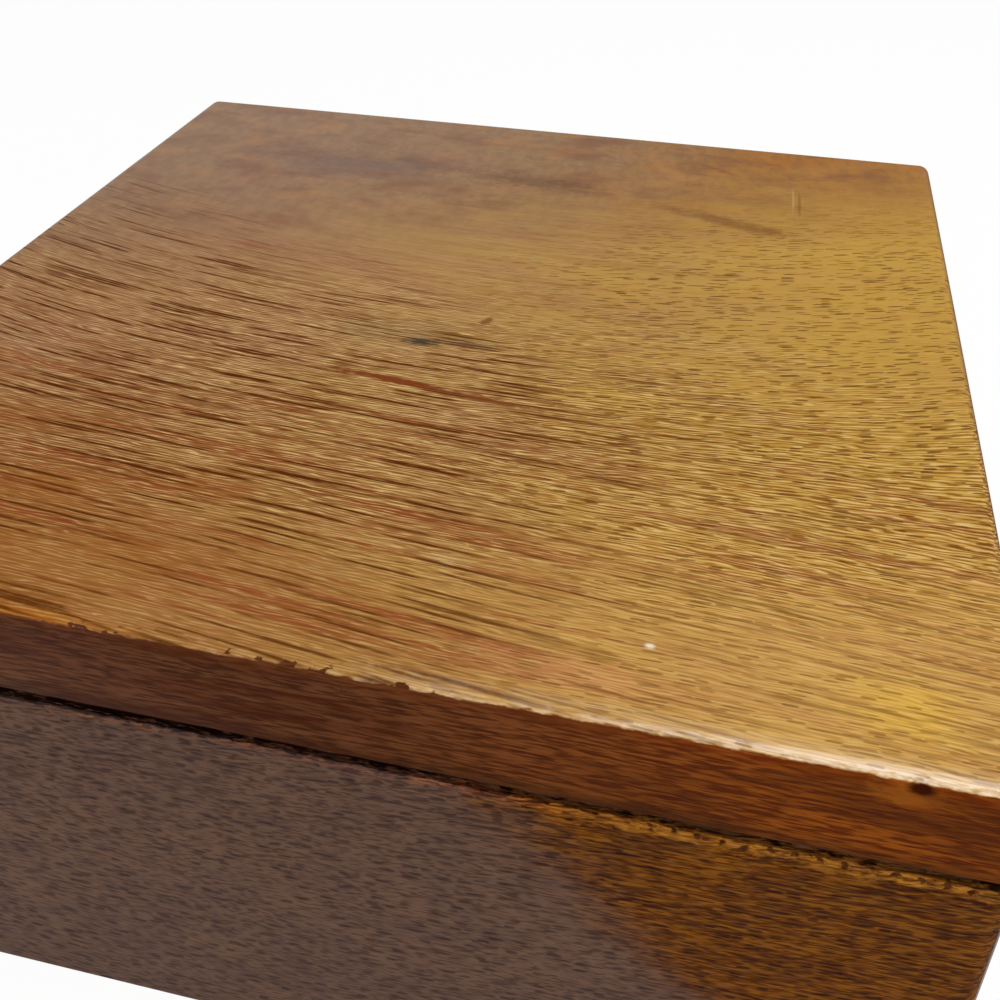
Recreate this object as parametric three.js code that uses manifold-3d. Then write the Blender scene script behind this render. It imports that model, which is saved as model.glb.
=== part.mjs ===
// A hinged wooden box: a mitred case with a thin bottom let into grooves, a slab lid,
// and two brass butt hinges with rolled knuckles, sunk into the back edge.
// Millimetres, +Z up, front towards -Y. The origin lies on the table under the middle
// of the whole box, hinge barrels included.
import * as THREE from 'three';
import { mergeVertices } from 'three/addons/utils/BufferGeometryUtils.js';
import Module from 'manifold-3d';

const wasm = await Module();
wasm.setup();

// The box as a whole
const boxWidth = 160;
const boxDepth = 180;
const boxHeight = 64;
const lidThickness = 12;
const seamGap = 0.8;

// The four boards of the case
const wallThickness = 10;
const cornerRadius = 2.2;
const rimRound = 1;
const rimInnerChamfer = 0.4;
const baseRound = 0.6;
const glueLine = 0.08;

// The bottom board and its groove
const bottomThickness = 5;
const bottomRise = 5;
const grooveDepth = 4;
const grooveFit = 0.15;
const grooveSlack = 0.8;

// The lid
const lidTopRound = 2;
const lidLowerRound = 0.3;

// The hinges
const hingeLength = 30;
const hingeFromSide = 22;
const leafThickness = 0.9;
const pinRadius = 0.8;
const pinPlay = 0.06;
const pinProud = 0.35;
const pinBehindWood = 0.25;
const knuckleGap = 0.3;
const knuckleClearance = 0.3;
const leafSeat = 0.1;
const mortiseFit = 0.15;
const mortiseLip = 1.5;
const leafCornerRadius = 0.8;

// The hinge screws
const screwShankRadius = 0.95;
const screwLength = 8;
const screwPoint = 2.4;
const screwFromEnd = 7;
const screwFit = 0.1;
const slotWidth = 0.5;
const slotDepth = 0.4;

// How far a cut runs past the face that it opens
const overrun = 1;

// Counts and angles
const cornerSteps = 6;
const roundSteps = 5;
const roundSides = 24;
const screwSides = 16;
const rollSteps = 29;
const rollStart = THREE.MathUtils.degToRad(-90);
const rollEnd = THREE.MathUtils.degToRad(200);
const caseKnuckles = [0, 2, 4];
const lidKnuckles = [1, 3];
const knuckleCount = caseKnuckles.length + lidKnuckles.length;

// What follows from the sizes above
const rimHeight = boxHeight - lidThickness - seamGap;
const halfRollStep = (rollEnd - rollStart) / rollSteps / 2;
const boreRadius = (pinRadius + pinPlay) / Math.cos(halfRollStep);
const knuckleRadius = boreRadius + leafThickness;
const knuckleWidth = (hingeLength - knuckleGap * (knuckleCount - 1)) / knuckleCount;
const leafReach = wallThickness - mortiseLip - mortiseFit + pinBehindWood;
const barrelReach = knuckleRadius + knuckleClearance;
const screwReach = (leafReach + barrelReach) / 2;
const screwHeadRadius = screwShankRadius + leafThickness;
const pinY = boxDepth / 2 + pinBehindWood;
const pinZ = rimHeight + seamGap / 2;
const hingeX = boxWidth / 2 - hingeFromSide - hingeLength / 2;
const hingeSides = [
  { side: 'left', x: -hingeX },
  { side: 'right', x: hingeX },
];

const wallWood = new THREE.MeshStandardMaterial({ color: '#8f5a2c', roughness: 0.5, metalness: 0 });
const lidWood = new THREE.MeshStandardMaterial({ color: '#a87842', roughness: 0.4, metalness: 0 });
const bottomWood = new THREE.MeshStandardMaterial({ color: '#a58358', roughness: 0.7, metalness: 0 });
const brass = new THREE.MeshStandardMaterial({ color: '#b8924a', roughness: 0.35, metalness: 1 });
const steel = new THREE.MeshStandardMaterial({ color: '#9a958c', roughness: 0.4, metalness: 1 });

// Solids and geometries

function toSolid(geometry) {
  const bare = geometry.clone();
  bare.deleteAttribute('normal');
  bare.deleteAttribute('uv');
  const merged = mergeVertices(bare);
  const corners = merged.index.array;
  const kept = [];
  for (let i = 0; i < corners.length; i += 3) {
    const [a, b, c] = corners.slice(i, i + 3);
    if (a !== b && b !== c && c !== a) kept.push(a, b, c);
  }
  const mesh = new wasm.Mesh({
    numProp: 3,
    vertProperties: new Float32Array(merged.attributes.position.array),
    triVerts: new Uint32Array(kept),
  });
  return new wasm.Manifold(mesh);
}

function toGeometry(solid) {
  const mesh = solid.getMesh();
  const indexed = new THREE.BufferGeometry();
  indexed.setAttribute('position', new THREE.BufferAttribute(mesh.vertProperties, 3));
  indexed.setIndex(new THREE.BufferAttribute(mesh.triVerts, 1));
  const geometry = indexed.toNonIndexed();
  geometry.computeVertexNormals();
  return geometry;
}

function cut(geometry, ...tools) {
  return toGeometry(tools.reduce((solid, tool) => solid.subtract(toSolid(tool)), toSolid(geometry)));
}

function join(geometry, ...others) {
  return toGeometry(others.reduce((solid, other) => solid.add(toSolid(other)), toSolid(geometry)));
}

function common(geometry, other) {
  return toGeometry(toSolid(geometry).intersect(toSolid(other)));
}

function boxBetween(low, high) {
  const size = new THREE.Vector3().subVectors(high, low);
  const middle = new THREE.Vector3().addVectors(high, low).divideScalar(2);
  return new THREE.BoxGeometry(size.x, size.y, size.z).translate(middle.x, middle.y, middle.z);
}

// One ring of points round an upright block, counter-clockwise seen from above.
function blockRing(width, depth, radius, height) {
  const points = [];
  const round = Math.max(radius, 0);
  for (let corner = 0; corner < 4; corner += 1) {
    const turn = (corner * Math.PI) / 2;
    const signX = corner === 0 || corner === 3 ? 1 : -1;
    const signY = corner < 2 ? 1 : -1;
    for (let step = 0; step <= cornerSteps; step += 1) {
      const angle = turn + (step / cornerSteps) * (Math.PI / 2);
      points.push(new THREE.Vector3(
        signX * (width / 2 - round) + round * Math.cos(angle),
        signY * (depth / 2 - round) + round * Math.sin(angle),
        height,
      ));
    }
  }
  return points;
}

// A closed block whose sides follow a profile of { inset, height }, lowest first.
function profiledBlock(width, depth, radius, profile) {
  const rings = profile.map(({ inset, height }) => (
    blockRing(width - inset * 2, depth - inset * 2, radius - inset, height)
  ));
  const around = rings[0].length;
  const points = rings.flat();
  const triangles = [];
  for (let level = 0; level < rings.length - 1; level += 1) {
    for (let i = 0; i < around; i += 1) {
      const a = level * around + i;
      const b = level * around + ((i + 1) % around);
      triangles.push(a, b, b + around, a, b + around, a + around);
    }
  }
  const top = (rings.length - 1) * around;
  for (let i = 1; i < around - 1; i += 1) {
    triangles.push(0, i + 1, i, top, top + i, top + i + 1);
  }
  const geometry = new THREE.BufferGeometry().setFromPoints(points);
  geometry.setIndex(triangles);
  return geometry;
}

// The quarter rounds at the foot and at the top of a block's side.
function roundedSide(height, footRadius, topRadius) {
  const foot = [];
  const top = [];
  for (let step = 0; step <= roundSteps; step += 1) {
    const angle = (step / roundSteps) * (Math.PI / 2);
    foot.push({
      inset: footRadius * (1 - Math.sin(angle)),
      height: footRadius * (1 - Math.cos(angle)),
    });
    top.push({
      inset: topRadius * (1 - Math.cos(angle)),
      height: height - topRadius * (1 - Math.sin(angle)),
    });
  }
  return [...foot, ...top];
}

// The case

function caseRing() {
  const outside = profiledBlock(
    boxWidth, boxDepth, cornerRadius, roundedSide(rimHeight, baseRound, rimRound),
  );
  const cavity = profiledBlock(boxWidth, boxDepth, 0, [
    { inset: wallThickness, height: -overrun },
    { inset: wallThickness, height: rimHeight - rimInnerChamfer },
    { inset: wallThickness - rimInnerChamfer, height: rimHeight },
    { inset: wallThickness - rimInnerChamfer, height: rimHeight + overrun },
  ]);
  const grooveInset = wallThickness - grooveDepth;
  const groove = boxBetween(
    new THREE.Vector3(grooveInset - boxWidth / 2, grooveInset - boxDepth / 2, bottomRise - grooveFit),
    new THREE.Vector3(
      boxWidth / 2 - grooveInset,
      boxDepth / 2 - grooveInset,
      bottomRise + bottomThickness + grooveFit,
    ),
  );
  return cut(outside, cavity, groove);
}

// The space of one board between its two mitres, with its outer face towards -Y.
function mitredSpace(length, span) {
  const outer = overrun;
  const inner = wallThickness + overrun;
  const glueShift = (glueLine / 2) * Math.SQRT2;
  const outline = new THREE.Shape();
  outline.moveTo(-length / 2 - outer + glueShift, -span / 2 - outer);
  outline.lineTo(length / 2 + outer - glueShift, -span / 2 - outer);
  outline.lineTo(length / 2 - inner - glueShift, -span / 2 + inner);
  outline.lineTo(-length / 2 + inner + glueShift, -span / 2 + inner);
  outline.closePath();
  const depth = rimHeight + overrun * 2;
  return new THREE.ExtrudeGeometry(outline, { depth, bevelEnabled: false }).translate(0, 0, -overrun);
}

function caseBoard(ring, length, span, turn) {
  return common(ring, mitredSpace(length, span).rotateZ(turn));
}

function bottomBoard() {
  const inset = wallThickness - grooveDepth + grooveSlack;
  return boxBetween(
    new THREE.Vector3(inset - boxWidth / 2, inset - boxDepth / 2, bottomRise),
    new THREE.Vector3(boxWidth / 2 - inset, boxDepth / 2 - inset, bottomRise + bottomThickness),
  );
}

function lidSlab() {
  const side = roundedSide(lidThickness, lidLowerRound, lidTopRound);
  return profiledBlock(boxWidth, boxDepth, cornerRadius, side)
    .translate(0, 0, rimHeight + seamGap);
}

// The hinges. Each is drawn about its pin: X along the pin, the wood towards -Y.
// The case side lies below the pin, and the lid side is the same turned over.

function alongPin(geometry) {
  const turn = new THREE.Matrix4().makeBasis(
    new THREE.Vector3(0, 1, 0),
    new THREE.Vector3(0, 0, 1),
    new THREE.Vector3(1, 0, 0),
  );
  return geometry.applyMatrix4(turn);
}

function pinCylinder(radius, length) {
  const outside = radius / Math.cos(Math.PI / roundSides);
  return new THREE.CylinderGeometry(outside, outside, length, roundSides).rotateZ(Math.PI / 2);
}

// The section of leaf and knuckle: flat strip, rolled round the pin, its end left open.
function rolledSection() {
  const section = new THREE.Shape();
  section.moveTo(-leafReach, -knuckleRadius);
  section.lineTo(0, -knuckleRadius);
  section.absarc(0, 0, knuckleRadius, rollStart, rollEnd, false);
  section.absarc(0, 0, boreRadius, rollEnd, rollStart, true);
  section.lineTo(-leafReach, -boreRadius);
  section.closePath();
  return section;
}

function knuckleMiddle(place) {
  return (place + 0.5) * knuckleWidth + place * knuckleGap - hingeLength / 2;
}

// The room that a leaf leaves for one knuckle of the other leaf.
function knuckleSlot(place) {
  const middle = knuckleMiddle(place);
  const half = knuckleWidth / 2 + knuckleGap;
  const reach = knuckleRadius + overrun;
  return boxBetween(
    new THREE.Vector3(middle - half, -barrelReach, -reach),
    new THREE.Vector3(middle + half, reach, reach),
  );
}

// The plate seen from above, with its two free corners rounded.
function leafOutline() {
  const half = hingeLength / 2;
  const round = leafCornerRadius;
  const outline = new THREE.Shape();
  outline.moveTo(-half, knuckleRadius + overrun);
  outline.lineTo(-half, round - leafReach);
  outline.absarc(round - half, round - leafReach, round, Math.PI, Math.PI * 1.5, false);
  outline.absarc(half - round, round - leafReach, round, Math.PI * 1.5, Math.PI * 2, false);
  outline.lineTo(half, knuckleRadius + overrun);
  outline.closePath();
  const reach = knuckleRadius + overrun;
  return new THREE.ExtrudeGeometry(outline, {
    depth: reach * 2,
    bevelEnabled: false,
    curveSegments: cornerSteps,
  }).translate(0, 0, -reach);
}

function screwPlaces() {
  const x = hingeLength / 2 - screwFromEnd;
  return [-x, x].map((along) => new THREE.Vector3(along, -screwReach, -boreRadius));
}

// A countersunk screw, or with a fit its hole: top at zero, point down.
function screwShape(fit, rise) {
  const profile = [
    [0, -screwLength - fit],
    [screwShankRadius + fit, -screwLength + screwPoint - fit],
    [screwShankRadius + fit, screwShankRadius - screwHeadRadius],
    [screwHeadRadius + fit, 0],
  ];
  if (rise > 0) profile.push([screwHeadRadius + fit, rise]);
  profile.push([0, rise]);
  const points = profile.map(([radius, height]) => new THREE.Vector2(radius, height));
  return new THREE.LatheGeometry(points, screwSides).rotateX(Math.PI / 2);
}

function screwHole(place) {
  return screwShape(screwFit, overrun).translate(place.x, place.y, place.z);
}

// A leaf keeps the knuckles that are its own: those of the other leaf are slotted out.
function hingeLeaf(otherKnuckles) {
  const strip = alongPin(new THREE.ExtrudeGeometry(rolledSection(), {
    depth: hingeLength,
    bevelEnabled: false,
    curveSegments: rollSteps,
  }).translate(0, 0, -hingeLength / 2));
  const blank = common(strip, leafOutline());
  return cut(blank, ...otherKnuckles.map(knuckleSlot), ...screwPlaces().map(screwHole));
}

// What is cut out of the wood for one side of a hinge.
function hingeRecess() {
  const half = hingeLength / 2 + mortiseFit;
  const reach = knuckleRadius + overrun;
  const mortise = boxBetween(
    new THREE.Vector3(-half, -leafReach - mortiseFit, -knuckleRadius - leafSeat),
    new THREE.Vector3(half, reach, reach),
  );
  const barrel = pinCylinder(barrelReach, hingeLength + (pinProud + knuckleClearance) * 2);
  return join(mortise, barrel, ...screwPlaces().map(screwHole));
}

function turnedOver(geometry) {
  return geometry.clone().rotateY(Math.PI);
}

function hingePin() {
  const half = hingeLength / 2;
  const points = [];
  for (const end of [-1, 1]) {
    for (let step = 0; step <= roundSteps; step += 1) {
      const angle = ((end < 0 ? step : roundSteps - step) / roundSteps) * (Math.PI / 2);
      points.push(new THREE.Vector2(
        pinRadius * Math.sin(angle),
        end * (half + pinProud * Math.cos(angle)),
      ));
    }
  }
  return new THREE.LatheGeometry(points, roundSides).rotateZ(Math.PI / 2);
}

function hingeScrew() {
  const slot = boxBetween(
    new THREE.Vector3(-screwHeadRadius - overrun, -slotWidth / 2, -slotDepth),
    new THREE.Vector3(screwHeadRadius + overrun, slotWidth / 2, overrun),
  );
  return cut(screwShape(0, 0), slot);
}

// Assembly

function named(name, geometry, material) {
  const mesh = new THREE.Mesh(geometry, material.clone());
  mesh.name = name;
  return mesh;
}

const box = new THREE.Group();
box.position.y = -(pinBehindWood + knuckleRadius) / 2;

const recess = hingeRecess();
const backRecesses = hingeSides.map(({ x }) => recess.clone().translate(x, pinY, pinZ));
const lidRecesses = hingeSides.map(({ x }) => turnedOver(recess).translate(x, pinY, pinZ));

const ring = caseRing();
box.add(named('front_wall', caseBoard(ring, boxWidth, boxDepth, 0), wallWood));
box.add(named('right_wall', caseBoard(ring, boxDepth, boxWidth, Math.PI / 2), wallWood));
box.add(named('back_wall', cut(caseBoard(ring, boxWidth, boxDepth, Math.PI), ...backRecesses), wallWood));
box.add(named('left_wall', caseBoard(ring, boxDepth, boxWidth, -Math.PI / 2), wallWood));
box.add(named('bottom_panel', bottomBoard(), bottomWood));
box.add(named('lid_panel', cut(lidSlab(), ...lidRecesses), lidWood));

const caseLeaf = hingeLeaf(lidKnuckles);
const lidLeaf = turnedOver(hingeLeaf(caseKnuckles));
const pin = hingePin();
const screw = hingeScrew();

hingeSides.forEach(({ side, x }, hingeIndex) => {
  const hinge = new THREE.Group();
  hinge.position.set(x, pinY, pinZ);
  hinge.add(named(`hinge_leaf_case_${side}`, caseLeaf.clone(), brass));
  hinge.add(named(`hinge_leaf_lid_${side}`, lidLeaf.clone(), brass));
  hinge.add(named(`hinge_pin_${side}`, pin.clone(), steel));
  screwPlaces().forEach((place, i) => {
    const number = hingeIndex * 2 + i + 1;
    const caseScrew = named(`case_screw_${number}`, screw.clone(), brass);
    caseScrew.position.copy(place);
    const lidScrew = named(`lid_screw_${number}`, screw.clone(), brass);
    lidScrew.position.set(place.x, place.y, -place.z);
    lidScrew.rotation.x = Math.PI;
    hinge.add(caseScrew, lidScrew);
  });
  box.add(hinge);
});

const part = new THREE.Group();
part.add(box);

export default part;
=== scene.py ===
import math
from types import SimpleNamespace
import bmesh
import bpy
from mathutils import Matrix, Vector


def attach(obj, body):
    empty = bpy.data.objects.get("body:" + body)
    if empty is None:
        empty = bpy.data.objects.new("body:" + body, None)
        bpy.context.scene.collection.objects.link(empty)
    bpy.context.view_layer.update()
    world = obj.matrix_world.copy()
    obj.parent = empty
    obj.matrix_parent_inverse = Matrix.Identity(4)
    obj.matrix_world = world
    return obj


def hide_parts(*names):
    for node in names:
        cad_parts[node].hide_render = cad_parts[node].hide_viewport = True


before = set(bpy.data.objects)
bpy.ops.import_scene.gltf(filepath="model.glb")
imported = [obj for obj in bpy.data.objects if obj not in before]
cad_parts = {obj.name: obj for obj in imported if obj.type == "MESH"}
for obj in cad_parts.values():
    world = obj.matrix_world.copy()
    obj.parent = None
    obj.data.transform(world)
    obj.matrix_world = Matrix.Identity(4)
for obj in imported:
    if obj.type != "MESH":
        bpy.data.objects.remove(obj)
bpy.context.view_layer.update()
print("frame loaded")

millimetre = 0.001


def linear(red, green, blue):
    def one(value):
        share = value / 255
        return share / 12.92 if share <= 0.04045 else ((share + 0.055) / 1.055) ** 2.4
    return (one(red), one(green), one(blue), 1.0)


# The camera, the floor and the lights

viewpoint = {
    "place": (0.043695, -0.187594, 0.156667),
    "turnDegrees": (58.0371, -0.6303, 14.2409),
    "lens": 46.477,
    "shift": (0.06, -0.06),
}
camera = bpy.data.objects.new("viewpoint", bpy.data.cameras.new("viewpoint"))
camera.location = viewpoint["place"]
camera.rotation_euler = [math.radians(a) for a in viewpoint["turnDegrees"]]
camera.data.sensor_width = 36
camera.data.lens = viewpoint["lens"]
camera.data.shift_x, camera.data.shift_y = viewpoint["shift"]
camera.data.clip_start = 0.01
bpy.context.scene.collection.objects.link(camera)
bpy.context.scene.camera = camera
bpy.context.scene.view_settings.view_transform = "Standard"

panels = {
    "overheadPanel": {"place": (0.32, -0.10, 0.80), "aim": (0, 0, 0.05), "size": (0.65, 0.5), "watts": 6.0,
                      "colour": (1.0, 0.98, 0.95)},
    "frontPanel": {"place": (-0.5, -1.5, 0.9), "aim": (0, 0, 0.04), "size": (0.9, 0.7), "watts": 2.4,
                   "colour": (1.0, 0.98, 0.96)},
}
for name, panel in panels.items():
    lamp = bpy.data.lights.new(name, "AREA")
    lamp.shape = "RECTANGLE"
    lamp.size, lamp.size_y = panel["size"]
    lamp.energy = panel["watts"]
    lamp.color = panel["colour"]
    holder = bpy.data.objects.new(name, lamp)
    holder.location = panel["place"]
    aim = Vector(panel["aim"]) - Vector(panel["place"])
    holder.rotation_euler = aim.to_track_quat("-Z", "Y").to_euler()
    bpy.context.scene.collection.objects.link(holder)


# Short ways to build node trees


def put(tree, kind, values=None, **settings):
    node = tree.nodes.new(kind)
    for name, value in settings.items():
        setattr(node, name, value)
    for socket, value in (values or {}).items():
        if isinstance(value, bpy.types.NodeSocket):
            tree.links.new(value, node.inputs[socket])
        else:
            node.inputs[socket].default_value = value
    return node


def calc(tree, operation, *values, clamp=False, kind="ShaderNodeMath"):
    node = put(tree, kind, dict(enumerate(values)), operation=operation)
    if kind == "ShaderNodeMath":
        node.use_clamp = clamp
    return node.outputs[0]


def vectorCalc(tree, operation, *values):
    return calc(tree, operation, *values, kind="ShaderNodeVectorMath")


def chained(tree, operation, first, *others):
    for other in others:
        first = calc(tree, operation, first, other)
    return first


def times(tree, *values):
    return chained(tree, "MULTIPLY", *values)


def plus(tree, *values):
    return chained(tree, "ADD", *values)


def minus(tree, value, other):
    return calc(tree, "SUBTRACT", value, other)


def shifted(tree, value, drift, amount):
    return plus(tree, value, times(tree, drift, amount))


def inverse(tree, mask):
    return minus(tree, 1.0, mask)


def separate(tree, vector):
    return put(tree, "ShaderNodeSeparateXYZ", {0: vector}).outputs


def combine(tree, x=0.0, y=0.0, z=0.0):
    return put(tree, "ShaderNodeCombineXYZ", {0: x, 1: y, 2: z}).outputs[0]


def lengthOf(tree, vector):
    return put(tree, "ShaderNodeVectorMath", {0: vector}, operation="LENGTH").outputs["Value"]


def inMillimetres(tree, vector):
    return vectorCalc(tree, "MULTIPLY", vector, (1 / millimetre,) * 3)


def fade(tree, value, start, end, low=0.0, high=1.0, kind="SMOOTHSTEP"):
    values = {0: value, 1: start, 2: end, 3: low, 4: high}
    return put(tree, "ShaderNodeMapRange", values, interpolation_type=kind).outputs[0]


def between(tree, mask, low, high, kind="SMOOTHSTEP"):
    return fade(tree, mask, 0.0, 1.0, low, high, kind)


# Noise whose grains are as long and as wide as the two sizes
def noiseAt(tree, vector, along, across, detail, rough, seed=0.0):
    small = vectorCalc(tree, "DIVIDE", vector, combine(tree, along, across, across))
    values = {"Vector": small, "W": seed, "Scale": 1.0, "Detail": detail, "Roughness": rough}
    return put(tree, "ShaderNodeTexNoise", values, noise_dimensions="4D").outputs[0]


def centredNoise(tree, *values):
    return minus(tree, noiseAt(tree, *values), 0.5)


def blend(tree, share, first, second, kind="MIX"):
    values = {0: share, 6: first, 7: second}
    return put(tree, "ShaderNodeMix", values, data_type="RGBA", blend_type=kind).outputs[2]


# An input is given as its first value, or as a word for its kind
def newGroup(name, inputs, outputs, kind="ShaderNodeTree"):
    tree = bpy.data.node_groups.new(name, kind)
    kinds = {"vector": "NodeSocketVector", "number": "NodeSocketFloat", "whole": "NodeSocketInt",
             "geometry": "NodeSocketGeometry", "material": "NodeSocketMaterial"}
    for label, value in inputs.items():
        word = value if isinstance(value, str) else "whole" if isinstance(value, int) else "number"
        socket = tree.interface.new_socket(name=label, in_out="INPUT", socket_type=kinds[word])
        if word != value:
            socket.default_value = value
    for label, word in outputs.items():
        tree.interface.new_socket(name=label, in_out="OUTPUT", socket_type=kinds[word])
    given = tree.nodes.new("NodeGroupInput").outputs
    result = tree.nodes.new("NodeGroupOutput").inputs
    return tree, given, result


def useGroup(tree, group, values):
    return put(tree, "ShaderNodeGroup", values, node_tree=group).outputs


def newMaterial(name):
    material = bpy.data.materials.new(name)
    material.use_nodes = True
    material.node_tree.nodes.clear()
    return material, material.node_tree


def realAndPainted(tree, geometry, given, result):
    real = put(tree, "GeometryNodeRealizeInstances", {"Geometry": geometry})
    painted = put(tree, "GeometryNodeSetMaterial", {"Geometry": real.outputs[0], "Material": given["Material"]})
    tree.links.new(painted.outputs[0], result["Geometry"])


# The floor and what lies behind it

studio = {
    "floorColour": (0.93, 0.93, 0.925, 1.0),
    "floorGlow": 0.95,
    "floorRadius": 4.0,
    "fillLight": 0.34,
}


def seenDirectly(tree):
    path = put(tree, "ShaderNodeLightPath").outputs
    return chained(tree, "MAXIMUM", *(path["Is %s Ray" % kind] for kind in ("Camera", "Glossy", "Transmission")))


def paleFloor():
    material, tree = newMaterial("paleFloor")
    paint = put(tree, "ShaderNodeBsdfDiffuse", {"Color": studio["floorColour"]})
    glow = put(tree, "ShaderNodeEmission", {"Color": (1, 1, 1, 1), "Strength": 1.0})
    share = times(tree, seenDirectly(tree), studio["floorGlow"])
    both = put(tree, "ShaderNodeMixShader", {0: share, 1: paint.outputs[0], 2: glow.outputs[0]})
    put(tree, "ShaderNodeOutputMaterial", {0: both.outputs[0]})
    disc = bmesh.new()
    bmesh.ops.create_circle(disc, cap_ends=True, segments=96, radius=studio["floorRadius"])
    mesh = bpy.data.meshes.new("floor")
    disc.to_mesh(mesh)
    disc.free()
    mesh.materials.append(material)
    floor = bpy.data.objects.new("floor", mesh)
    bpy.context.scene.collection.objects.link(floor)


def paleWorld():
    world = bpy.data.worlds.new("paleWorld")
    world.use_nodes = True
    tree = world.node_tree
    tree.nodes.clear()
    strength = between(tree, seenDirectly(tree), studio["fillLight"], 1.0, "LINEAR")
    sky = put(tree, "ShaderNodeBackground", {"Color": (1, 1, 1, 1), "Strength": strength})
    put(tree, "ShaderNodeOutputWorld", {0: sky.outputs[0]})
    bpy.context.scene.world = world


paleFloor()
paleWorld()
print("camera, lights and floor done")


# Wood, as node groups. All of them work in millimetres, with the grain along the first axis.


def makeGrainSpace():
    tree, given, result = newGroup(
        "grainSpace",
        {"Position": "vector", "Tilt": 0.0, "Bow": 0.0, "Bow Tilt": 0.0, "Bow From": -70.0, "Bow To": -15.0,
         "Wander": 2.0, "Silk Tilt": 0.2, "Rise": -0.02, "Rise Bow": 0.0, "Deep Wander": 0.3, "Seed": 0.0},
        {"Grain": "vector", "Silk": "vector", "Place": "vector"},
    )
    place = inMillimetres(tree, given["Position"])
    x, y, z = separate(tree, place)
    squareX = times(tree, x, x)
    # bow: the grain lines curve more and more towards the back
    curve = shifted(tree, times(tree, squareX, given["Bow"]), x, given["Bow Tilt"])
    bow = times(tree, curve, fade(tree, y, given["Bow From"], given["Bow To"]))
    slow = centredNoise(tree, place, 90, 45, 1.0, 0.5, given["Seed"])
    quick = centredNoise(tree, place, 22, 9, 1.0, 0.5, given["Seed"])
    shift = plus(tree, times(tree, slow, 4.0, given["Wander"]), times(tree, quick, given["Wander"]))
    straight = minus(tree, shifted(tree, y, x, given["Tilt"]), bow)
    climb = shifted(tree, times(tree, x, given["Rise"]), squareX, given["Rise Bow"])
    level = minus(tree, z, climb)
    deep = shifted(tree, level, shift, given["Deep Wander"])
    tree.links.new(combine(tree, x, plus(tree, straight, shift), deep), result["Grain"])
    # the silk lies at a small angle to the pores and sways half as much
    turn = times(tree, x, given["Silk Tilt"])
    sway = times(tree, shift, 0.5)
    silkAcross = plus(tree, minus(tree, straight, turn), sway)
    silkDeep = plus(tree, shifted(tree, level, x, 0.03), times(tree, sway, given["Deep Wander"]))
    tree.links.new(combine(tree, x, silkAcross, silkDeep), result["Silk"])
    tree.links.new(place, result["Place"])
    return tree


def makeOpenPores():
    tree, given, result = newGroup(
        "openPores",
        {"Vector": "vector", "Cell Length": 6.0, "Cell Width": 0.6, "Half Length": 3.0, "Half Width": 0.15,
         "Fringe Reach": 2.6, "Seed": 0.0},
        {"Pores": "number", "Fringe": "number"},
    )
    cell = combine(tree, given["Cell Length"], given["Cell Width"], given["Cell Width"])
    pore = combine(tree, given["Half Length"], given["Half Width"], given["Half Width"])
    vector = vectorCalc(tree, "ADD", vectorCalc(tree, "DIVIDE", given["Vector"], cell), given["Seed"])
    cells = put(tree, "ShaderNodeTexVoronoi", {"Vector": vector, "Scale": 1.0, "Randomness": 1.0}).outputs
    offset = vectorCalc(tree, "MULTIPLY", vectorCalc(tree, "SUBTRACT", vector, cells["Position"]),
                        vectorCalc(tree, "DIVIDE", cell, pore))
    # each pore has its own length and width, and blunt ends
    chance = separate(tree, cells["Color"])
    squeeze = combine(tree, between(tree, chance[0], 2.2, 0.9, "LINEAR"),
                      between(tree, chance[1], 1.6, 0.8, "LINEAR"), 1.0)
    along, across, deep = separate(tree, vectorCalc(tree, "MULTIPLY", offset, squeeze))
    blunt = calc(tree, "POWER", calc(tree, "ABSOLUTE", along), 3.0)
    reach = lengthOf(tree, combine(tree, blunt, across, deep))
    beads = noiseAt(tree, given["Vector"], 2.6, 0.8, 1.0, 0.5, given["Seed"])
    beads = fade(tree, beads, 0.3, 0.6, 0.3, 0.0)
    tree.links.new(fade(tree, plus(tree, reach, beads), 1.3, 0.35), result["Pores"])
    tree.links.new(fade(tree, plus(tree, reach, 0.15), given["Fringe Reach"], 0.8), result["Fringe"])
    return tree


# Silk strokes: the wood's shimmer along the grain, painted into the colour as lighter and darker strokes, partly the
# fibres' own colour and partly a painted sheen
def makeSilkStrokes():
    tree, given, result = newGroup(
        "silkStrokes",
        {"Vector": "vector", "Length": 5.0, "Width": 0.8, "Contrast": 0.12, "Pitch": 0.6, "Regular": 0.0,
         "Seed": 0.0},
        {"Light": "number", "Dark": "number", "Height": "number"},
    )
    wave = times(tree, centredNoise(tree, given["Vector"], 5, 2.5, 0.0, 0.5, given["Seed"]), 0.15)
    bent = vectorCalc(tree, "ADD", given["Vector"], combine(tree, 0.0, wave, wave))
    strokes = noiseAt(tree, bent, given["Length"], given["Width"], 0.5, 0.4, given["Seed"])
    # regular fine lines, whose phase slips, are mixed with the strokes
    slip = noiseAt(tree, given["Vector"], 7, 1.1, 1.0, 0.5, given["Seed"])
    across, deep = separate(tree, given["Vector"])[1:]
    phase = calc(tree, "DIVIDE", shifted(tree, plus(tree, across, deep), slip, 1.6), given["Pitch"])
    lines = shifted(tree, 0.5, calc(tree, "SINE", times(tree, phase, math.tau)), 0.19)
    strokes = between(tree, given["Regular"], strokes, lines, "LINEAR")
    tree.links.new(strokes, result["Height"])
    tree.links.new(fade(tree, strokes, 0.55, plus(tree, 0.55, given["Contrast"])), result["Light"])
    tree.links.new(fade(tree, strokes, 0.5, minus(tree, 0.5, given["Contrast"])), result["Dark"])
    return tree


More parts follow.
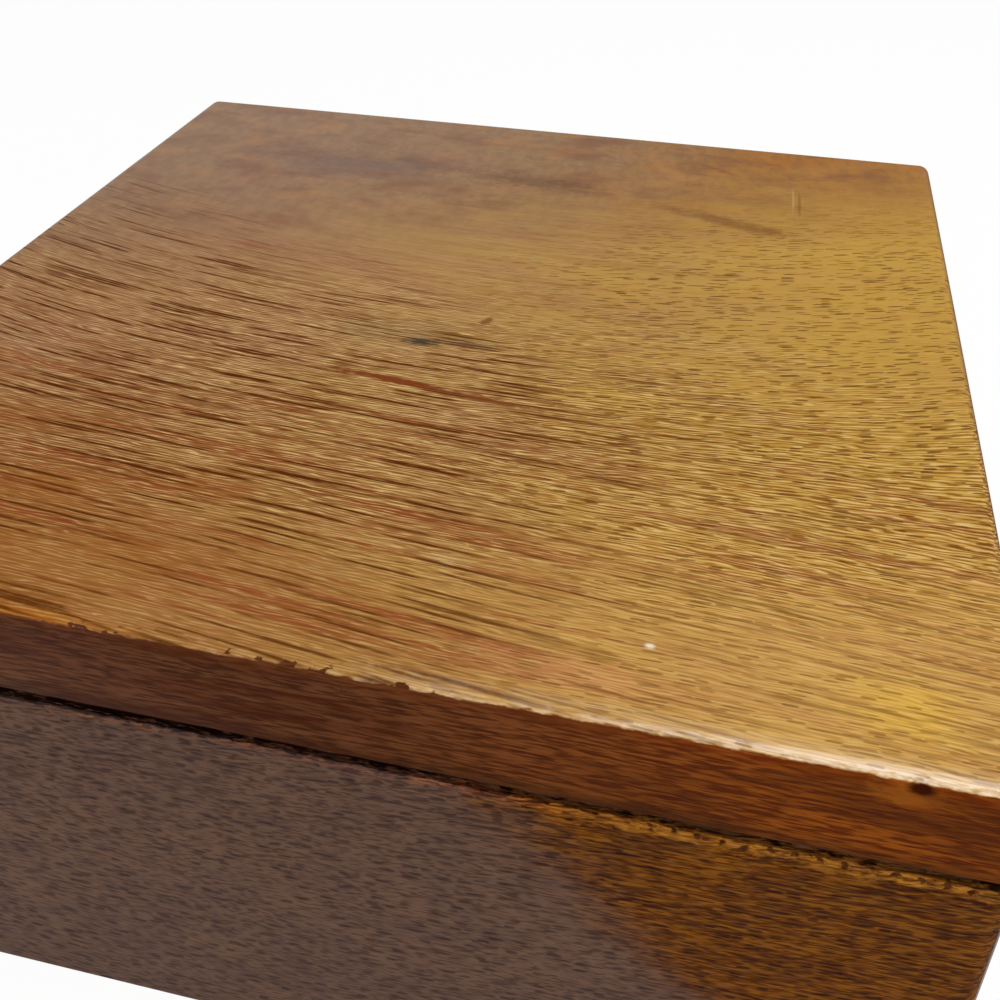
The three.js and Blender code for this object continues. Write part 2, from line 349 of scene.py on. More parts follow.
def makeFigure():
    tree, given, result = newGroup(
        "figure",
        {"Vector": "vector", "Seed": 0.0},
        {"Bands": "number", "Streaks": "number", "Clouds": "number"},
    )
    bands = noiseAt(tree, given["Vector"], 70, 9, 2.0, 0.5, given["Seed"])
    streaks = noiseAt(tree, given["Vector"], 24, 1.3, 2.0, 0.55, given["Seed"])
    clouds = noiseAt(tree, given["Vector"], 30, 16, 2.0, 0.5, given["Seed"])
    tree.links.new(fade(tree, bands, 0.36, 0.64), result["Bands"])
    tree.links.new(fade(tree, streaks, 0.35, 0.67), result["Streaks"])
    tree.links.new(fade(tree, clouds, 0.36, 0.64), result["Clouds"])
    return tree


# The space between the walls, in millimetres and a hair wider than it is, where the wood is left bare
innerFaces = {"halfWidth": 70.1, "halfDepth": 80.1, "middleY": -1.007, "soft": 0.2}


def makeInsideFace():
    tree, given, result = newGroup("insideFace", {"Position": "vector"}, {"Mask": "number"})
    x, y = separate(tree, inMillimetres(tree, given["Position"]))[:2]
    y = plus(tree, y, -innerFaces["middleY"])
    wide, deep = (fade(tree, calc(tree, "ABSOLUTE", axis), innerFaces[size] + innerFaces["soft"], innerFaces[size])
                  for axis, size in ((x, "halfWidth"), (y, "halfDepth")))
    tree.links.new(times(tree, wide, deep), result["Mask"])
    return tree


def makeTarnish():
    tree, given, result = newGroup(
        "tarnish",
        {"Position": "vector", "Cloud": 3.0, "Scratch Length": 6.0, "Scratch Width": 0.08, "Seed": 0.0},
        {"Patina": "number", "Scratches": "number"},
    )
    place = inMillimetres(tree, given["Position"])
    cloud = noiseAt(tree, place, given["Cloud"], given["Cloud"], 4.0, 0.65, given["Seed"])
    tree.links.new(fade(tree, cloud, 0.38, 0.66), result["Patina"])
    scratches = noiseAt(tree, place, given["Scratch Length"], given["Scratch Width"], 2.0, 0.5, given["Seed"])
    tree.links.new(scratches, result["Scratches"])
    return tree


def makeMark():
    tree, given, result = newGroup(
        "mark",
        {"Place": "vector", "Torn": 0.0, "Centre": "vector", "Half Length": 5.0, "Half Width": 1.0, "Turn": 0.0,
         "Edge": 0.5, "Ragged": 0.3},
        {"Mask": "number"},
    )
    offset = vectorCalc(tree, "SUBTRACT", given["Place"], given["Centre"])
    turned = put(tree, "ShaderNodeVectorRotate", {"Vector": offset, "Axis": (0, 0, 1), "Angle": given["Turn"]})
    size = combine(tree, given["Half Length"], given["Half Width"], given["Half Width"])
    reach = lengthOf(tree, vectorCalc(tree, "DIVIDE", turned.outputs[0], size))
    reach = shifted(tree, reach, given["Torn"], given["Ragged"])
    tree.links.new(fade(tree, reach, 1.0, inverse(tree, given["Edge"])), result["Mask"])
    return tree


grainSpace = makeGrainSpace()
openPores = makeOpenPores()
silkStrokes = makeSilkStrokes()
figure = makeFigure()
mark = makeMark()
insideFace = makeInsideFace()
tarnish = makeTarnish()
print("node groups done")


def woodMaterial(name, wood, detail=None):
    material, tree = newMaterial(name)
    position = put(tree, "ShaderNodeTexCoord").outputs["Object"]
    bare = None
    if wood.get("bareInside"):
        bare = useGroup(tree, insideFace, {"Position": position})["Mask"]
    if wood.get("turned"):
        quarter = (0, 0, math.radians(-90))
        position = put(tree, "ShaderNodeMapping", {"Vector": position, "Rotation": quarter}).outputs[0]
    space = useGroup(tree, grainSpace, {"Position": position, "Seed": wood["seed"], **wood["space"]})
    pores = useGroup(tree, openPores, {"Vector": space["Grain"], "Seed": wood["seed"], **wood["pores"]})
    short = useGroup(tree, openPores, {"Vector": space["Silk"], "Seed": wood["seed"] + 3, **wood["shortPores"]})
    silk = useGroup(tree, silkStrokes, {"Vector": space["Silk"], "Seed": wood["seed"] + 7, **wood["silk"]})
    shape = useGroup(tree, figure, {"Vector": space["Grain"], "Seed": wood["seed"] + 11})
    colours = wood["colours"]
    colour = blend(tree, shape["Bands"], colours["deep"], colours["body"])
    colour = blend(tree, times(tree, shape["Clouds"], wood["cloudShare"]), colour, colours["gold"])
    colour = blend(tree, times(tree, shape["Streaks"], wood["streakShare"]), colour, colours["streak"])
    masks = {"coat": wood["coat"], "long": 1.0, "short": 1.0, "silk": 1.0, "grain": space["Grain"]}
    if detail:
        colour = detail(tree, space["Place"], colour, masks)
    if bare:
        colour = blend(tree, times(tree, bare, 0.75), colour, wood["bareInside"])
        masks["coat"] = times(tree, masks["coat"], inverse(tree, bare))
    # the silk strokes: partly the fibres' colour, partly a painted sheen
    silkShare = times(tree, masks["silk"], wood["silkShare"])
    colour = blend(tree, times(tree, silk["Light"], silkShare), colour, colours["silk"])
    colour = blend(tree, times(tree, silk["Dark"], masks["silk"]), colour, colours["shade"], "MULTIPLY")
    longShare = times(tree, masks["long"], wood["poreShare"])
    shortShare = times(tree, masks["short"], wood["shortShare"])
    pore, fringe = (calc(tree, "MAXIMUM", times(tree, pores[part], longShare), times(tree, short[part], shortShare))
                    for part in ("Pores", "Fringe"))
    colour = blend(tree, times(tree, fringe, wood["fringeShare"]), colour, colours["fringe"])
    colour = blend(tree, pore, colour, colours["pore"])
    for shade, mask in masks.get("last", []):
        colour = blend(tree, mask, colour, shade)
    height = minus(tree, times(tree, silk["Height"], 0.4), pore)
    bump = put(tree, "ShaderNodeBump", {"Strength": wood["bump"], "Distance": 0.12 * millimetre, "Height": height})
    roughness = between(tree, pore, wood["roughness"], 0.75, "LINEAR")
    shader = put(tree, "ShaderNodeBsdfPrincipled", {
        "Base Color": colour, "Roughness": roughness, "Normal": bump.outputs[0],
        "Specular IOR Level": wood["gloss"], "Coat Roughness": wood["coatRoughness"],
        "Coat Weight": masks["coat"],
    })
    put(tree, "ShaderNodeOutputMaterial", {0: shader.outputs[0]})
    return material


# The lid's wood

lidTop = {
    "seed": 2.0,
    "space": {"Tilt": 0.12, "Bow": 0.0022, "Bow Tilt": 0.07, "Bow From": -70.0, "Bow To": 5.0, "Wander": 1.0,
              "Silk Tilt": 0.1},
    "pores": {"Cell Length": 28.0, "Cell Width": 0.8, "Half Length": 12.0, "Half Width": 0.31,
              "Fringe Reach": 1.9},
    "shortPores": {"Cell Length": 4.2, "Cell Width": 0.54, "Half Length": 1.8, "Half Width": 0.2,
                   "Fringe Reach": 1.5},
    "silk": {"Length": 3.0, "Width": 0.19, "Contrast": 0.11, "Pitch": 0.55, "Regular": 0.6},
    "cloudShare": 0.6, "streakShare": 0.36, "silkShare": 0.68, "shortShare": 0.72,
    "fringeShare": 0.45, "poreShare": 1.0, "bump": 0.6, "roughness": 0.55, "gloss": 0.02,
    "coat": 0.1, "coatRoughness": 0.17,
    "colours": {
        "body": linear(175, 140, 91), "deep": linear(160, 121, 81), "gold": linear(172, 140, 70),
        "streak": linear(136, 84, 44), "silk": linear(218, 188, 126), "shade": linear(196, 172, 132),
        "fringe": linear(126, 74, 18), "pore": linear(76, 33, 2),
    },
}

# The lid's marks: centre, half length and half width in millimetres, turn in degrees. The knot comes last.
lidMarks = {
    "archLeft": {"centre": (-34, 57), "size": (30, 10), "turn": 6, "edge": 0.95, "ragged": 0.5,
        "colour": (84, 62, 60), "share": 0.54},
    "archMiddle": {"centre": (2, 56), "size": (20, 5), "turn": -8, "edge": 0.8, "ragged": 0.5,
        "colour": (82, 46, 26), "share": 0.55},
    "archRight": {"centre": (42, 45), "size": (17, 3.6), "turn": -22, "edge": 0.8, "ragged": 0.6,
        "colour": (96, 50, 16), "share": 0.54},
    "archBack": {"centre": (38, 73), "size": (9, 1.2), "turn": -32, "edge": 0.9, "ragged": 0.4,
        "colour": (110, 66, 28), "share": 0.45},
    "greenCloud": {"centre": (-6, -14), "size": (16, 6), "turn": 0, "edge": 0.9, "ragged": 0.6,
        "colour": (146, 124, 84), "share": 0.5},
    "darkTail": {"centre": (5.5, -15.4), "size": (8.5, 1.3), "turn": 3, "edge": 0.9, "ragged": 0.6,
        "colour": (92, 62, 46), "share": 0.7},
    "darkSpot": {"centre": (-1.6, -16.6), "size": (4.4, 1.9), "turn": 0, "edge": 0.95, "ragged": 0.6,
        "colour": (54, 48, 38), "share": 0.88},
    "redStreak": {"centre": (-3, -29.0), "size": (11, 1.3), "turn": -7, "edge": 0.5, "ragged": 0.5,
        "colour": (112, 48, 14), "share": 0.95},
    "redTail": {"centre": (12, -31.0), "size": (10, 0.9), "turn": -7, "edge": 0.7, "ragged": 0.8,
        "colour": (112, 54, 20), "share": 0.85},
    "tick": {"centre": (6.6, -6.4), "size": (1.0, 3.4), "turn": -22, "edge": 0.8, "ragged": 0.7,
        "colour": (112, 62, 24), "share": 0.8},
    "paleSpot": {"centre": (16.0, -69.4), "size": (3.0, 1.7), "turn": 0, "edge": 1.0, "ragged": 0.8,
        "colour": (196, 178, 124), "share": 0.45},
    "fleck": {"centre": (40.4, -78.2), "size": (0.9, 0.7), "turn": 0, "edge": 0.9, "ragged": 0.3,
        "colour": (236, 226, 205), "share": 0.8},
    "paleScratch": {"centre": (52.8, 60), "size": (0.35, 9), "turn": 1, "edge": 0.7, "ragged": 0.2,
        "colour": (206, 170, 110), "share": 0.3},
    "darkScratch": {"centre": (54.0, 58), "size": (0.45, 9), "turn": 1, "edge": 0.7, "ragged": 0.2,
        "colour": (112, 70, 28), "share": 0.55},
    "yellowPatch": {"centre": (67, -82), "size": (9, 7), "turn": 0, "edge": 1.0, "ragged": 0.5,
        "colour": (214, 172, 62), "share": 0.55},
    "rosyPatch": {"centre": (34, -85), "size": (16, 3.4), "turn": -2, "edge": 1.0, "ragged": 0.8,
        "colour": (186, 122, 84), "share": 0.55},
    "rustPatch": {"centre": (2, -83), "size": (14, 3.0), "turn": -4, "edge": 1.0, "ragged": 0.8,
        "colour": (138, 76, 40), "share": 0.55},
    "redPatch": {"centre": (-41, 11.5), "size": (5, 1.4), "turn": -8, "edge": 0.8, "ragged": 0.5,
        "colour": (138, 76, 50), "share": 0.6},
    "brownDot": {"centre": (43.6, 21.5), "size": (2.2, 1.0), "turn": 14, "edge": 0.7, "ragged": 0.4,
        "colour": (98, 66, 30), "share": 0.6},
    "knotRing": {"centre": (66.6, -90.8), "size": (4.6, 2.4), "turn": 0, "edge": 0.9, "ragged": 0.5,
        "colour": (168, 96, 24), "share": 0.6, "height": 61.9},
    "knot": {"centre": (68.1, -90.8), "size": (1.9, 1.0), "turn": 0, "edge": 0.6, "ragged": 0.3,
        "colour": (46, 10, 2), "share": 0.95, "height": 62.7},
}


def wearOf(tree, label):
    return put(tree, "ShaderNodeAttribute", attribute_name=label).outputs["Fac"]


lidHeight = 64.0
strongMark = 0.55

# Washes of colour over the lid, in the order they are laid: the zone, its share and its colour
lidWashes = [
    ("right", 0.74, (183, 143, 58)),
    # partly the wood's tone, partly a painted reflection: the grey-mauve on the left
    ("left", 0.65, (152, 109, 82)),
    ("leftNear", 0.9, (130, 73, 26)),
    ("near", 0.5, (154, 101, 42)),
    ("reds", 1.0, (136, 70, 34)),
    # painted highlight: the near right of the top is lightened to a cream sheen
    ("rightNear", 0.5, (214, 173, 100)),
    # partly the wood's tone, partly a painted reflection: the grey film at the back
    ("far", 0.75, (127, 97, 69)),
    ("farRight", 0.85, (154, 94, 22)),
    ("mottle", 1.0, (116, 80, 52)),
    ("blotch", 1.0, (114, 72, 48)),
]


def roughNoise(tree, place):
    return centredNoise(tree, place, 9, 4, 3.0, 0.6), centredNoise(tree, place, 1.6, 0.5, 2.0, 0.6)


# Where each part of the lid begins and ends, in millimetres: the lid lies from z 52 to 64 and its front face
# at y -91. A slow drift makes the borders wander.
def lidZones(tree, place):
    x, y, z = separate(tree, place)
    coarse, fine = roughNoise(tree, place)
    torn = plus(tree, times(tree, coarse, 2.4), times(tree, fine, 2.4))
    drift = centredNoise(tree, place, 20, 9, 1.0, 0.5, 6.0)
    wideX, wideY = shifted(tree, x, drift, 60), shifted(tree, y, drift, 40)
    back = fade(tree, shifted(tree, wideY, wideX, -0.45), 5.0, 75.0)
    ragged = shifted(tree, shifted(tree, z, torn, 0.22), wearOf(tree, "fray"), -0.5)
    under = fade(tree, z, 52.1, 52.02)
    return SimpleNamespace(
        x=x, y=y, z=z, coarse=coarse, fine=fine, torn=torn, wideX=wideX, wideY=wideY, ragged=ragged, under=under,
        right=fade(tree, wideX, 0.0, 62.0), left=fade(tree, wideX, 10.0, -45.0),
        near=fade(tree, wideY, -30.0, -82.0), far=times(tree, back, fade(tree, z, 54.0, 60.0)),
        arris=fade(tree, y, -88.8, -89.4),
        side=times(tree, fade(tree, ragged, 63.35, 63.1), inverse(tree, under)),
    )


def lidWash(tree, place, at, grain, colour):
    reds = noiseAt(tree, grain, 40, 1.7, 2.0, 0.6, 17.0)
    mottle = noiseAt(tree, place, 2.2, 4.6, 2.0, 0.6, 14.0)
    blotch = noiseAt(tree, place, 15, 9, 3.0, 0.6, 4.0)
    pale = noiseAt(tree, place, 11, 8, 3.0, 0.6, 9.0)
    zones = {
        "right": at.right, "left": at.left, "near": at.near, "far": at.far,
        "leftNear": times(tree, at.left, at.near), "rightNear": times(tree, at.right, at.near),
        "farRight": times(tree, at.far, at.right),
        "reds": times(tree, fade(tree, reds, 0.5, 0.64), fade(tree, at.wideY, -10.0, -60.0, 0.15, 0.85)),
        "mottle": times(tree, fade(tree, mottle, 0.4, 0.62, 0.0, 0.4), between(tree, at.far, 0.05, 1.0)),
        "blotch": times(tree, fade(tree, blotch, 0.46, 0.66), between(tree, at.far, 0.03, 0.75)),
    }
    for zone, share, shade in lidWashes:
        colour = blend(tree, times(tree, zones[zone], share), colour, linear(*shade))
    pale = times(tree, fade(tree, pale, 0.48, 0.68), between(tree, at.far, 0.03, 0.36))
    return blend(tree, pale, colour, blend(tree, at.far, linear(190, 142, 86), linear(168, 116, 62)))


# Faint marks lie under the pores, strong ones are returned and laid over them
def lidSpots(tree, place, at, colour):
    strong = []
    for spot in lidMarks.values():
        mask = useGroup(tree, mark, {
            "Place": place, "Torn": at.torn, "Centre": (*spot["centre"], spot.get("height", lidHeight)),
            "Half Length": spot["size"][0], "Half Width": spot["size"][1], "Turn": -math.radians(spot["turn"]),
            "Edge": spot["edge"], "Ragged": spot["ragged"]})["Mask"]
        mask = times(tree, mask, spot["share"])
        if spot["share"] > strongMark:
            strong.append((linear(*spot["colour"]), mask))
        else:
            colour = blend(tree, mask, colour, linear(*spot["colour"]))
    return colour, strong


def lidEdges(tree, place, at, colour):
    fibres = fade(tree, noiseAt(tree, place, 3.4, 0.3, 1.5, 0.6), 0.4, 0.6)
    flame = noiseAt(tree, place, 22, 3, 2.0, 0.6)
    # the edge is warmer on the right; its greyer colours on the left are partly a painted reflection
    warm = fade(tree, at.x, 0.0, 70.0)
    shade = blend(tree, fibres, blend(tree, warm, linear(62, 27, 12), linear(88, 24, 0)),
                  blend(tree, warm, linear(104, 60, 36), linear(148, 74, 10)))
    shade = blend(tree, fade(tree, flame, 0.42, 0.66, 0.0, 0.7), shade, linear(66, 20, 4))
    redder = blend(tree, warm, linear(78, 36, 16), linear(116, 40, 4))
    shade = blend(tree, fade(tree, at.ragged, 61.0, 63.4, 0.0, 0.5), shade, redder)
    # painted shade: the edge darkens towards its bottom, next to the seam
    shade = blend(tree, fade(tree, at.z, 54.6, 52.4, 0.0, 0.5), shade, linear(44, 16, 6))
    colour = blend(tree, times(tree, at.side, 0.97), colour, shade)
    # painted shade: the rounded arrises at the back and the two ends are darkened where they turn away
    roundedEdgeShade = times(tree, fade(tree, at.z, 63.98, 63.2, 0.0, 0.7), fade(tree, at.y, -89.0, -87.6),
                    fade(tree, at.z, 61.4, 63.0))
    colour = blend(tree, roundedEdgeShade, colour, linear(96, 62, 34))
    # the splintered arris: a painted highlight with a pale core on the right, golden wood on the left
    paintedHighlight = times(tree, at.arris, fade(tree, at.ragged, 63.15, 63.4),
                   fade(tree, shifted(tree, at.z, at.fine, 0.5), 63.95, 63.45),
                   fade(tree, shifted(tree, at.x, at.torn, 14), -30.0, 50.0),
                   fade(tree, at.fine, -0.25, 0.1, 0.4, 0.8))
    colour = blend(tree, paintedHighlight, colour, linear(214, 172, 112))
    # painted highlight: the pale core of the reflected lamp, on the right of the arris
    highlightCore = times(tree, at.arris, fade(tree, at.ragged, 63.2, 63.45), fade(tree, at.z, 63.8, 63.6),
                 fade(tree, shifted(tree, at.x, at.torn, 22), 16.0, 76.0), fade(tree, at.fine, -0.2, 0.1, 0.3, 0.9))
    colour = blend(tree, highlightCore, colour, linear(244, 222, 196))
    golden = times(tree, at.arris, fade(tree, at.x, 0.0, -50.0), fade(tree, at.z, 63.98, 63.7),
                   fade(tree, at.ragged, 63.15, 63.3), 0.7)
    colour = blend(tree, golden, colour, linear(196, 124, 36))
    return blend(tree, times(tree, at.under, 0.7), colour, linear(176, 134, 90))


# Where the finish still shines: a film at the back left, a bead of lacquer along the front arris
def lidCoat(tree, at, knot):
    film = times(tree, at.far, fade(tree, at.x, 60.0, -60.0, 0.2, 1.0), 0.3)
    broken = fade(tree, shifted(tree, times(tree, at.x, 0.006), at.torn, 0.35), 0.0, 0.25)
    bead = times(tree, fade(tree, at.y, -87.8, -89.2), fade(tree, at.z, 62.2, 62.9), broken, inverse(tree, at.side))
    edge = fade(tree, shifted(tree, plus(tree, at.x, at.z), at.coarse, -20), 70.0, 10.0)
    coat = chained(tree, "MAXIMUM", film, bead, times(tree, at.side, edge, 0.18), 0.012)
    return times(tree, coat, inverse(tree, knot), inverse(tree, at.under))


# How strongly the pores and the silk show
def lidLines(tree, at):
    long = times(tree, fade(tree, shifted(tree, at.wideY, at.wideX, 0.45), 10.0, -25.0),
                 fade(tree, at.side, 1.0, 0.0, 0.25, 1.0), fade(tree, at.wideX, 10.0, 55.0, 1.0, 0.45),
                 fade(tree, at.wideY, -60.0, -84.0, 1.0, 0.8))
    short = times(tree, fade(tree, shifted(tree, at.wideY, at.wideX, -0.35), 50.0, 8.0, 0.08, 1.0),
                  fade(tree, at.wideX, -15.0, 40.0, 0.15, 1.0), fade(tree, at.wideY, -80.0, -35.0, 0.6, 1.0),
                  between(tree, at.side, 1.0, 0.5))
    silk = times(tree, fade(tree, shifted(tree, at.wideY, at.x, 0.15), 22.0, -26.0, 0.08, 1.0),
                 fade(tree, at.wideX, -70.0, -20.0, 0.6, 1.0), between(tree, at.side, 1.0, 0.06),
                 fade(tree, at.wideY, -50.0, -78.0, 1.0, 0.4))
    # the back, the two ends and the underside are plainer
    elsewhere = calc(tree, "MAXIMUM", at.under, times(tree, at.side, fade(tree, at.y, -89.0, -88.0)))
    shares = {"long": (long, 0.7), "short": (short, 0.6), "silk": (silk, between(tree, at.under, 0.05, 0.5))}
    return {kind: between(tree, elsewhere, *pair) for kind, pair in shares.items()}


def lidDetail(tree, place, colour, masks):
    at = lidZones(tree, place)
    colour = lidWash(tree, place, at, masks["grain"], colour)
    colour, masks["last"] = lidSpots(tree, place, at, colour)
    colour = lidEdges(tree, place, at, colour)
    knot = masks["last"][-1][1]
    masks["coat"] = lidCoat(tree, at, knot)
    masks.update(lidLines(tree, at))
    return colour


wallBoards = {
    **lidTop,
    "seed": 5.0,
    "space": {"Tilt": 0.0, "Bow": 0.0, "Wander": 2.0, "Silk Tilt": 0.1, "Rise": 0.05, "Rise Bow": 0.0007,
              "Deep Wander": 0.8},
    "pores": {"Cell Length": 9.0, "Cell Width": 0.75, "Half Length": 4.0, "Half Width": 0.22},
    "shortPores": {"Cell Length": 3.6, "Cell Width": 0.7, "Half Length": 1.4, "Half Width": 0.25},
    "silk": {"Length": 2.8, "Width": 0.2, "Contrast": 0.12, "Regular": 0.12},
    "shortShare": 0.64, "poreShare": 0.7, "silkShare": 0.25, "bareInside": linear(150, 104, 62),
    "colours": {
        "body": linear(104, 62, 32), "deep": linear(86, 48, 26), "gold": linear(108, 70, 30),
        "streak": linear(60, 28, 16), "silk": linear(132, 92, 58), "shade": linear(190, 172, 150),
        "fringe": linear(66, 34, 26), "pore": linear(34, 14, 12),
    },
}


def frontDetail(tree, place, colour, masks):
    x, y, z = separate(tree, place)
    coarse, fine = roughNoise(tree, place)
    # the bare part on the right has little coat and no painted reflection
    bare = times(tree, fade(tree, shifted(tree, plus(tree, x, z), coarse, 24), 66.0, 84.0),
                 fade(tree, y, -89.6, -90.6))
    fibres = fade(tree, noiseAt(tree, place, 4.0, 0.3, 1.5, 0.6, 3.0), 0.34, 0.66)
    colour = blend(tree, times(tree, bare, 0.9), colour, linear(108, 54, 4))
    glow = times(tree, bare, fibres, fade(tree, shifted(tree, z, coarse, 30), 26.0, 50.0, 0.5, 0.75))
    colour = blend(tree, glow, colour, linear(158, 100, 22))
    colour = blend(tree, fade(tree, fibres, 0.6, 0.0, 0.0, 0.5), colour, linear(52, 26, 14))
    colour = rimWood(tree, SimpleNamespace(place=place, x=x, y=y, z=z, coarse=coarse, fine=fine), colour)
    # painted shade: the top of the front wall, in the seam under the lid, is painted near black, reaching lower on
    # the left
    seamHeight = plus(tree, shifted(tree, z, fine, 1.4), fade(tree, x, 60.0, -60.0, 0.0, 0.35))
    paintedSeamShade = times(tree, fade(tree, seamHeight, 50.65, 50.85, 0.0, 0.96), fade(tree, y, -89.4, -89.9))
    mottle = noiseAt(tree, place, 8, 4, 2.0, 0.6, 6.0)
    mottle = times(tree, fade(tree, mottle, 0.42, 0.68), between(tree, bare, 0.75, 0.3))
    colour = blend(tree, mottle, colour, linear(60, 22, 12))
    # painted reflection: outside the bare part the front is washed lilac-grey, as the pale floor seen in its finish
    colour = blend(tree, between(tree, bare, 0.55, 0.0, "LINEAR"), colour, linear(118, 91, 77))
    masks["last"] = [(linear(26, 9, 4), paintedSeamShade)]
    masks["coat"] = between(tree, bare, 0.22, 0.02, "LINEAR")
    masks["long"] = fade(tree, shifted(tree, z, coarse, 20), 34.0, 48.0, 0.1, 1.0)
    return colour


# The chewed rim: a dark lip, torn fibres, teeth of bright wood with painted glints on the right and the notches
# between them, painted dark as shade
def rimWood(tree, at, colour):
    strands = noiseAt(tree, at.place, 1.8, 0.22, 1.0, 0.5)
    lip = times(tree, fade(tree, shifted(tree, at.z, at.fine, 1.6), 49.5, 50.3), fade(tree, at.y, -89.2, -89.8), 0.8)
    colour = blend(tree, lip, colour, blend(tree, strands, linear(60, 14, 2), linear(150, 62, 16)))
    start = fade(tree, at.x, -60.0, 60.0, 49.5, 48.9)
    tear = times(tree, wearOf(tree, "fray"), fade(tree, plus(tree, at.z, at.fine), start, 50.2), 0.95)
    torn = blend(tree, fade(tree, strands, 0.44, 0.62), linear(104, 30, 6), linear(216, 122, 38))
    colour = blend(tree, tear, colour, torn)
    # the teeth: torn wood, lightened in part as painted glints of light on the fibres
    teeth = times(tree, fade(tree, shifted(tree, at.z, at.fine, 2.2), 48.9, 49.9),
                  fade(tree, shifted(tree, at.x, at.coarse, 20), 20.0, 46.0),
                  fade(tree, strands, 0.3, 0.6, 0.45, 0.95))
    colour = blend(tree, teeth, colour, linear(196, 132, 44))
    # painted shade: the notches are painted dark
    return blend(tree, fade(tree, wearOf(tree, "notch"), 0.2, 0.6, 0.0, 0.85), colour, linear(66, 22, 4))


lidWood = woodMaterial("lidWood", lidTop, lidDetail)
frontWood = woodMaterial("frontWood", wallBoards, frontDetail)
wallWood = woodMaterial("wallWood", {**wallBoards, "coat": 0.4})
wallWoodTurned = woodMaterial("wallWoodTurned", {**wallBoards, "coat": 0.4, "turned": True, "seed": 6.0})
bottomWood = woodMaterial("bottomWood", {
    **lidTop, "seed": 8.0, "coat": 0.0, "gloss": 0.1, "roughness": 0.7, "silkShare": 0.4, "poreShare": 0.7,
    "space": {"Tilt": 0.03, "Bow": 0.0, "Wander": 2.4, "Silk Tilt": -0.1},
    "colours": {**lidTop["colours"], "body": linear(170, 128, 84), "deep": linear(158, 114, 72),
                "gold": linear(176, 136, 88), "silk": linear(192, 152, 106)},
})


def metalMaterial(name, metal):
    material, tree = newMaterial(name)
    position = put(tree, "ShaderNodeTexCoord").outputs["Object"]
    worn = useGroup(tree, tarnish, {"Position": position, "Cloud": metal["cloud"], "Seed": metal["seed"],
                                    "Scratch Length": metal["scratch"][0], "Scratch Width": metal["scratch"][1]})
    patina = times(tree, worn["Patina"], metal["patinaShare"])
    colour = blend(tree, patina, metal["clean"], metal["dull"])
    streak = fade(tree, worn["Scratches"], 0.35, 0.65, -0.08, 0.08, "LINEAR")
    roughness = plus(tree, between(tree, patina, *metal["roughness"], "LINEAR"), streak)
    bump = put(tree, "ShaderNodeBump", {"Strength": 0.25, "Distance": 0.02 * millimetre, "Height": worn["Scratches"]})
    shader = put(tree, "ShaderNodeBsdfPrincipled", {
        "Base Color": colour, "Roughness": roughness, "Metallic": 1.0, "Normal": bump.outputs[0]})
    put(tree, "ShaderNodeOutputMaterial", {0: shader.outputs[0]})
    return material


hingeBrass = metalMaterial("hingeBrass", {
    "clean": linear(204, 168, 104), "dull": linear(132, 96, 54), "patinaShare": 0.85, "roughness": (0.26, 0.55),
    "cloud": 2.6, "scratch": (7.0, 0.07), "seed": 3.0})
screwBrass = metalMaterial("screwBrass", {
    "clean": linear(214, 178, 112), "dull": linear(124, 88, 48), "patinaShare": 0.8, "roughness": (0.3, 0.6),
    "cloud": 1.1, "scratch": (1.0, 0.06), "seed": 7.0})
pinSteel = metalMaterial("pinSteel", {
    "clean": linear(176, 172, 166), "dull": linear(96, 88, 80), "patinaShare": 0.6, "roughness": (0.3, 0.5),
    "cloud": 0.8, "scratch": (5.0, 0.05), "seed": 9.0})
print("materials done")


# The pieces

sharpAngle = math.radians(35)
flatAngle = math.radians(0.3)
samePoint = 0.001 * millimetre
samePlane = 0.01 * millimetre
facing = 0.999


def mergedCopy(node):
    mesh = bmesh.new()
    mesh.from_mesh(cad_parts[node].data)
    bmesh.ops.remove_doubles(mesh, verts=mesh.verts, dist=samePoint)
    bmesh.ops.dissolve_limit(mesh, angle_limit=flatAngle, verts=mesh.verts, edges=mesh.edges)
    return mesh


def finishPiece(name, mesh, body, material, nodes, bevel=0.0, tree=None, values=None):
    data = bpy.data.meshes.new(name + ".rough")
    mesh.to_mesh(data)
    mesh.free()
    data.polygons.foreach_set("use_smooth", [True] * len(data.polygons))
    data.set_sharp_from_angle(angle=sharpAngle)
    rough = bpy.data.objects.new(name + ".rough", data)
    bpy.context.scene.collection.objects.link(rough)
    if bevel:
        rounding = rough.modifiers.new("rounding", "BEVEL")
        rounding.width = bevel
        rounding.segments = 2
        rounding.limit_method = "ANGLE"
        rounding.angle_limit = sharpAngle
        rounding.harden_normals = False
    if tree:
        shaped = rough.modifiers.new(tree.name, "NODES")
        shaped.node_group = tree
        sockets = {item.name: item.identifier for item in tree.interface.items_tree if item.in_out == "INPUT"}
        for socket, value in {**(values or {}), "Material": material}.items():
            shaped[sockets[socket]] = value
    weight = rough.modifiers.new("flatNormals", "WEIGHTED_NORMAL")
    weight.keep_sharp = True
    graph = bpy.context.evaluated_depsgraph_get()
    shaped = rough.evaluated_get(graph)
    final = bpy.data.meshes.new_from_object(shaped, preserve_all_data_layers=True, depsgraph=graph)
    bpy.data.objects.remove(rough)
    final.name = name
    final.materials.clear()
    final.materials.append(material)
    piece = bpy.data.objects.new(name, final)
    bpy.context.scene.collection.objects.link(piece)
    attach(piece, body)
    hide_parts(*nodes)


# Worn arrises: the edge is cut into small faces, then a node tree wears them inwards


